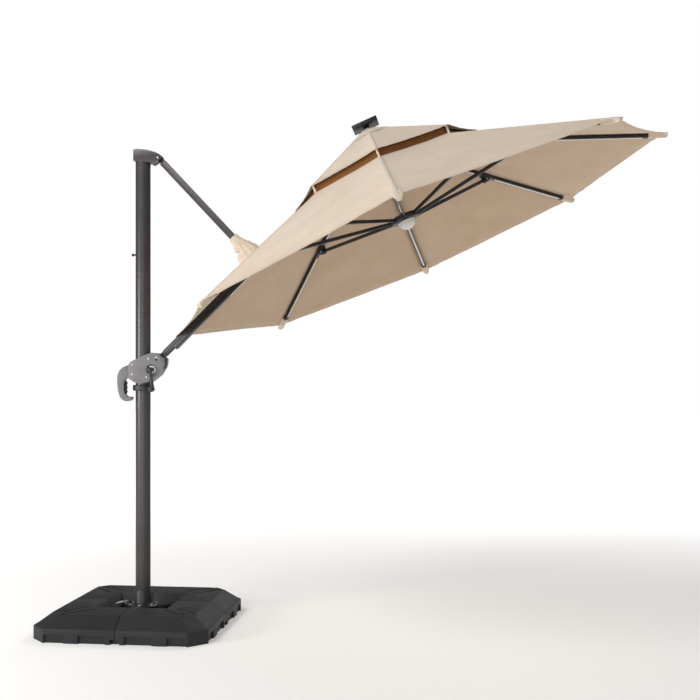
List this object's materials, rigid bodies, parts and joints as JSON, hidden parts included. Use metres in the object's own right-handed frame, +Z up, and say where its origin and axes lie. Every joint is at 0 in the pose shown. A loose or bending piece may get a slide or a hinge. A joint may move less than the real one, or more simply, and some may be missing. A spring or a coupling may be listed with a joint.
{
  "type": "patio umbrella",
  "caption": "Cantilever patio umbrella: tilting octagonal vented canopy on boom and strut, winch slider on an oval mast, square filled base with swivel",
  "frame": {"origin": "on the ground at the middle of the base, under the mast's axis; the underside of the cross base's centre plate", "axes": "+Z up along the mast; +X from the mast towards the canopy; +Y across, a mirror plane lies at Y = 0 for the frame"},
  "size_m": [3.4485, 2.982, 2.8944],
  "materials": {
    "bronze_frame": "bronze-grey powder coat, satin",
    "black_frame": "black powder coat, satin",
    "black_plastic": "moulded, matt",
    "rubber_grip": "moulded rubber",
    "base_plastic": "blow-moulded, satin",
    "bright_steel": "zinc plated",
    "solar_glass": "clear cover over dark cells",
    "light_lens": "frosted lens",
    "beige_cloth": "woven polyester canvas, beige"
  },
  "bodies": {
    "base": {"cross_base": "black_frame", "tank_front_left": "base_plastic", "tank_front_right": "base_plastic", "tank_rear_left": "base_plastic", "tank_rear_right": "base_plastic", "swivel_bearing": "bright_steel"},
    "mast": {"swivel_flange": "black_frame", "mast_tube": "bronze_frame", "mast_cap": "bronze_frame", "rope_stop_knob": "black_plastic"},
    "pedal": {"foot_pedal": "bright_steel"},
    "slider": {"slider_cover_front": "bronze_frame", "slider_cover_rear": "bronze_frame", "slider_collar": "black_plastic", "grip_handle": "black_plastic"},
    "trigger": {"release_trigger": "rubber_grip"},
    "crank": {"crank_arm": "black_frame", "winding_drum": "bright_steel"},
    "knob": {"crank_knob": "black_plastic"},
    "strut": {"strut": "bronze_frame", "strut_top_pin": "bright_steel", "elbow_pin": "bright_steel"},
    "boom": {"boom": "bronze_frame", "boom_rib": "black_frame", "boom_foot_pin": "bright_steel", "strut_boot": "beige_cloth"},
    "top_hub": {"top_hub": "black_frame", "solar_housing": "black_plastic", "solar_panel": "solar_glass", "vent_canopy": "beige_cloth", "main_canopy": "beige_cloth"},
    "rib_0": {"rib_0": "black_frame"},
    "rib_1": {"rib_1": "black_frame"},
    "rib_2": {"rib_2": "black_frame"},
    "rib_3": {"rib_3": "black_frame"},
    "rib_5": {"rib_5": "black_frame"},
    "rib_6": {"rib_6": "black_frame"},
    "rib_7": {"rib_7": "black_frame"},
    "stretcher_0": {"stretcher_0": "black_frame"},
    "stretcher_1": {"stretcher_1": "black_frame"},
    "stretcher_2": {"stretcher_2": "black_frame"},
    "stretcher_3": {"stretcher_3": "black_frame"},
    "stretcher_4": {"stretcher_4": "black_frame"},
    "stretcher_5": {"stretcher_5": "black_frame"},
    "stretcher_6": {"stretcher_6": "black_frame"},
    "stretcher_7": {"stretcher_7": "black_frame"},
    "runner": {"runner_hub": "black_plastic", "light_dome": "light_lens"},
    "cap_rear_right": {"fill_cap_rear_right": "black_plastic"},
    "cap_rear_left": {"fill_cap_rear_left": "black_plastic"},
    "cap_front_left": {"fill_cap_front_left": "black_plastic"},
    "cap_front_right": {"fill_cap_front_right": "black_plastic"}
  },
  "joints": [
    {"name": "mast_swivel", "type": "hinge", "parent": "base", "child": "mast", "pos_m": [0, 0, 0.1], "axis": [0, 0, 1], "continuous": true},
    {"name": "pedal_press", "type": "hinge", "parent": "mast", "child": "pedal", "pos_m": [-0.096, 0, 0.124], "axis": [0, -1, 0], "range_deg": [0, 12], "stiffness_Nm_per_rad": 4, "springref_deg": -8.59},
    {"name": "tilt", "type": "hinge", "parent": "mast", "child": "strut", "pos_m": [0.096, 0, 2.697], "axis": [0, -1, 0], "range_deg": [-3.5, 20.11]},
    {"name": "elbow", "type": "hinge", "parent": "strut", "child": "boom", "pos_m": [0.6664, 0, 2.0917], "axis": [0, -1, 0], "range_deg": [-43.41, 7.8], "deforming": ["strut_boot"]},
    {"name": "slider_travel", "type": "slide", "parent": "mast", "child": "slider", "axis": [0, 0, 1], "range_m": [-0.0911, 0.5064]},
    {"name": "trigger_squeeze", "type": "slide", "parent": "slider", "child": "trigger", "axis": [-1, 0, 0], "range_m": [0, 0.006], "stiffness_N_per_m": 600, "springref_m": -0.004},
    {"name": "crank_turn", "type": "hinge", "parent": "slider", "child": "crank", "pos_m": [0.066, -0.05, 1.474], "axis": [0, -1, 0], "continuous": true},
    {"name": "crank_knob_spin", "type": "hinge", "parent": "crank", "child": "knob", "pos_m": [0.084, -0.1, 1.362], "axis": [0, -1, 0], "continuous": true},
    {"name": "canopy_fold", "type": "hinge", "parent": "boom", "child": "top_hub", "pos_m": [1.29433, 0, 2.70786], "axis": [0, 1, 0], "range_deg": [0, 64], "deforming": ["main_canopy", "vent_canopy"]},
    {"name": "rib_0_hinge", "type": "hinge", "parent": "top_hub", "child": "rib_0", "pos_m": [1.40479, 0, 2.75475], "axis": [0, 1, 0], "range_deg": [0, 64.5]},
    {"name": "rib_1_hinge", "type": "hinge", "parent": "top_hub", "child": "rib_1", "pos_m": [1.38861, 0.04243, 2.74788], "axis": [-0.6509, 0.7071, -0.2763], "range_deg": [0, 64.5]},
    {"name": "rib_2_hinge", "type": "hinge", "parent": "top_hub", "child": "rib_2", "pos_m": [1.34956, 0.06, 2.7313], "axis": [-0.9205, 0, -0.3907], "range_deg": [0, 64.5]},
    {"name": "rib_3_hinge", "type": "hinge", "parent": "top_hub", "child": "rib_3", "pos_m": [1.31051, 0.04243, 2.71473], "axis": [-0.6509, -0.7071, -0.2763], "range_deg": [0, 64.5]},
    {"name": "rib_5_hinge", "type": "hinge", "parent": "top_hub", "child": "rib_5", "pos_m": [1.31051, -0.04243, 2.71473], "axis": [0.6509, -0.7071, 0.2763], "range_deg": [0, 64.5]},
    {"name": "rib_6_hinge", "type": "hinge", "parent": "top_hub", "child": "rib_6", "pos_m": [1.34956, -0.06, 2.7313], "axis": [0.9205, 0, 0.3907], "range_deg": [0, 64.5]},
    {"name": "rib_7_hinge", "type": "hinge", "parent": "top_hub", "child": "rib_7", "pos_m": [1.38861, -0.04243, 2.74788], "axis": [0.6509, 0.7071, 0.2763], "range_deg": [0, 64.5]},
    {"name": "stretcher_0_hinge", "type": "hinge", "parent": "rib_0", "child": "stretcher_0", "pos_m": [2.18823, 0, 2.72875], "axis": [0, -1, 0], "range_deg": [0, 145.18]},
    {"name": "stretcher_1_hinge", "type": "hinge", "parent": "rib_1", "child": "stretcher_1", "pos_m": [1.98036, 0.54518, 2.64051], "axis": [0.6509, -0.7071, 0.2763], "range_deg": [0, 145.18]},
    {"name": "stretcher_2_hinge", "type": "hinge", "parent": "rib_2", "child": "stretcher_2", "pos_m": [1.47852, 0.771, 2.42749], "axis": [0.9205, 0, 0.3907], "range_deg": [0, 145.18]},
    {"name": "stretcher_3_hinge", "type": "hinge", "parent": "rib_3", "child": "stretcher_3", "pos_m": [0.97668, 0.54518, 2.21447], "axis": [0.6509, 0.7071, 0.2763], "range_deg": [0, 145.18]},
    {"name": "stretcher_4_hinge", "type": "hinge", "parent": "boom", "child": "stretcher_4", "pos_m": [0.76881, 0, 2.12624], "axis": [0, 1, 0], "range_deg": [0, 145.18]},
    {"name": "stretcher_5_hinge", "type": "hinge", "parent": "rib_5", "child": "stretcher_5", "pos_m": [0.97668, -0.54518, 2.21447], "axis": [-0.6509, 0.7071, -0.2763], "range_deg": [0, 145.18]},
    {"name": "stretcher_6_hinge", "type": "hinge", "parent": "rib_6", "child": "stretcher_6", "pos_m": [1.47852, -0.771, 2.42749], "axis": [-0.9205, 0, -0.3907], "range_deg": [0, 145.18]},
    {"name": "stretcher_7_hinge", "type": "hinge", "parent": "rib_7", "child": "stretcher_7", "pos_m": [1.98036, -0.54518, 2.64051], "axis": [-0.6509, -0.7071, -0.2763], "range_deg": [0, 145.18]},
    {"name": "runner_travel", "type": "slide", "parent": "top_hub", "child": "runner", "axis": [0.3907, 0, -0.9205], "range_m": [0, 1.0583]},
    {"name": "cap_rear_right_turn", "type": "hinge", "parent": "base", "child": "cap_rear_right", "pos_m": [0.33, 0.33, 0.133], "axis": [0, 0, 1], "range_deg": [0, 90]},
    {"name": "cap_rear_left_turn", "type": "hinge", "parent": "base", "child": "cap_rear_left", "pos_m": [-0.33, 0.33, 0.133], "axis": [0, 0, 1], "range_deg": [0, 90]},
    {"name": "cap_front_left_turn", "type": "hinge", "parent": "base", "child": "cap_front_left", "pos_m": [-0.33, -0.33, 0.133], "axis": [0, 0, 1], "range_deg": [0, 90]},
    {"name": "cap_front_right_turn", "type": "hinge", "parent": "base", "child": "cap_front_right", "pos_m": [0.33, -0.33, 0.133], "axis": [0, 0, 1], "range_deg": [0, 90]}
  ],
  "couplings": [
    {"joint": "elbow", "follows": "tilt", "ratio": -2.1436},
    {"joint": "slider_travel", "follows": "tilt", "m_per_rad": 1.4256},
    {"joint": "rib_0_hinge", "follows": "canopy_fold", "ratio": 1},
    {"joint": "rib_1_hinge", "follows": "canopy_fold", "ratio": 1},
    {"joint": "rib_2_hinge", "follows": "canopy_fold", "ratio": 1},
    {"joint": "rib_3_hinge", "follows": "canopy_fold", "ratio": 1},
    {"joint": "rib_5_hinge", "follows": "canopy_fold", "ratio": 1},
    {"joint": "rib_6_hinge", "follows": "canopy_fold", "ratio": 1},
    {"joint": "rib_7_hinge", "follows": "canopy_fold", "ratio": 1},
    {"joint": "stretcher_0_hinge", "follows": "canopy_fold", "ratio": 2.2606},
    {"joint": "stretcher_1_hinge", "follows": "canopy_fold", "ratio": 2.2606},
    {"joint": "stretcher_2_hinge", "follows": "canopy_fold", "ratio": 2.2606},
    {"joint": "stretcher_3_hinge", "follows": "canopy_fold", "ratio": 2.2606},
    {"joint": "stretcher_4_hinge", "follows": "canopy_fold", "ratio": 2.2606},
    {"joint": "stretcher_5_hinge", "follows": "canopy_fold", "ratio": 2.2606},
    {"joint": "stretcher_6_hinge", "follows": "canopy_fold", "ratio": 2.2606},
    {"joint": "stretcher_7_hinge", "follows": "canopy_fold", "ratio": 2.2606},
    {"joint": "runner_travel", "follows": "canopy_fold", "m_per_rad": 0.94294}
  ]
}
